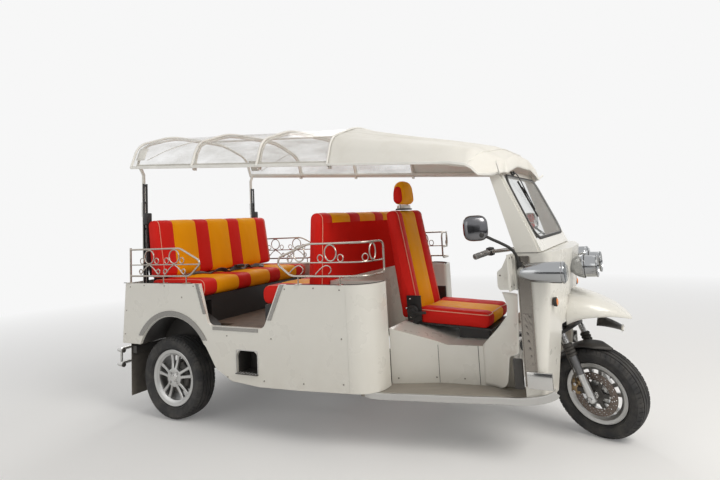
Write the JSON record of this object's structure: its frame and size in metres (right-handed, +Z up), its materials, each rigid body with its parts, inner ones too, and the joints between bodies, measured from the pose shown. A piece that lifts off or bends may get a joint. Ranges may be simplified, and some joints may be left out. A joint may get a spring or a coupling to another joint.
{
  "type": "auto rickshaw",
  "caption": "Open passenger auto rickshaw on three wheels with two passenger benches, a driver's seat over a console, handlebar steering, windscreen and a curved canopy.",
  "frame": {"origin": "on the ground, in the middle of the overall length and width", "axes": "+X forward, +Y to the vehicle's left, +Z up"},
  "size_m": [3.4018, 1.5, 1.983],
  "materials": {
    "white_paint": "gloss",
    "black_paint": "satin",
    "cast_alloy": "satin",
    "tyre": "matte",
    "battery_case": "matte",
    "spring_steel": "matte",
    "chrome": "polished",
    "bright_steel": "brushed",
    "black_plastic": "matte",
    "black_rubber": "matte",
    "floor_mat": "matte",
    "red_vinyl": "satin",
    "canvas": "matte",
    "clear_sheet": "clear",
    "clear_glass": "clear",
    "red_lens": "gloss",
    "orange_lens": "gloss",
    "webbing": "matte"
  },
  "bodies": {
    "chassis": {"chassis_frame": "black_paint", "battery_block": "battery_case", "rear_axle": "black_paint", "rear_springs": "spring_steel", "body_side_right": "white_paint", "body_side_left": "white_paint", "tub_front": "white_paint", "rear_panel": "white_paint", "tail_lamps": "red_lens", "floor_pan": "floor_mat", "arch_liners": "black_plastic", "side_trims": "chrome", "step_boxes": "bright_steel", "mud_flaps": "black_rubber", "rear_bumper": "chrome", "rear_bench_base": "black_paint", "rear_bench_cushion": "red_vinyl", "rear_bench_back": "red_vinyl", "rear_back_board": "black_paint", "middle_bench_base": "black_paint", "middle_bench_cushion": "red_vinyl", "middle_bench_back": "red_vinyl", "driver_console": "white_paint", "running_boards": "black_rubber", "driver_seat_base": "black_paint", "driver_cushion": "red_vinyl", "driver_back": "red_vinyl", "driver_headrest": "red_vinyl", "front_shell": "white_paint", "windscreen_frame": "white_paint", "windscreen_glass": "clear_glass", "wiper": "black_paint", "pillar_plates": "chrome", "pillar_wings": "white_paint", "headlamps": "chrome", "headlamp_lenses": "clear_glass", "turn_signals": "chrome", "front_markers": "orange_lens", "beak_mudguard": "white_paint", "mirrors": "chrome", "roof_frame": "white_paint", "canopy_clear": "clear_sheet", "canopy_canvas": "canvas", "side_rails_rear": "chrome", "side_rails_front": "chrome", "belt_uprights": "webbing"},
    "steering": {"fork": "black_paint", "small_mudguard": "black_plastic", "handlebar": "black_rubber"},
    "front_wheel": {"tyre_front": "tyre", "rim_front": "cast_alloy"},
    "rear_wheel_right": {"tyre_rear_right": "tyre", "rim_rear_right": "cast_alloy"},
    "rear_wheel_left": {"tyre_rear_left": "tyre", "rim_rear_left": "cast_alloy"}
  },
  "joints": [
    {"name": "steering", "type": "hinge", "parent": "chassis", "child": "steering", "pos_m": [1.42291, 0, 0.2292], "axis": [-0.342, 0, 0.9397], "range_deg": [-13.7, 56.3]},
    {"name": "front_wheel", "type": "hinge", "parent": "steering", "child": "front_wheel", "pos_m": [1.46231, -0.01635, 0.24354], "axis": [0.3413, 0.9317, 0.1242], "continuous": true},
    {"name": "rear_wheel_right", "type": "hinge", "parent": "chassis", "child": "rear_wheel_right", "pos_m": [-1.0848, -0.62, 0.266], "axis": [0, 1, 0], "continuous": true},
    {"name": "rear_wheel_left", "type": "hinge", "parent": "chassis", "child": "rear_wheel_left", "pos_m": [-1.0848, 0.62, 0.266], "axis": [0, 1, 0], "continuous": true}
  ]
}
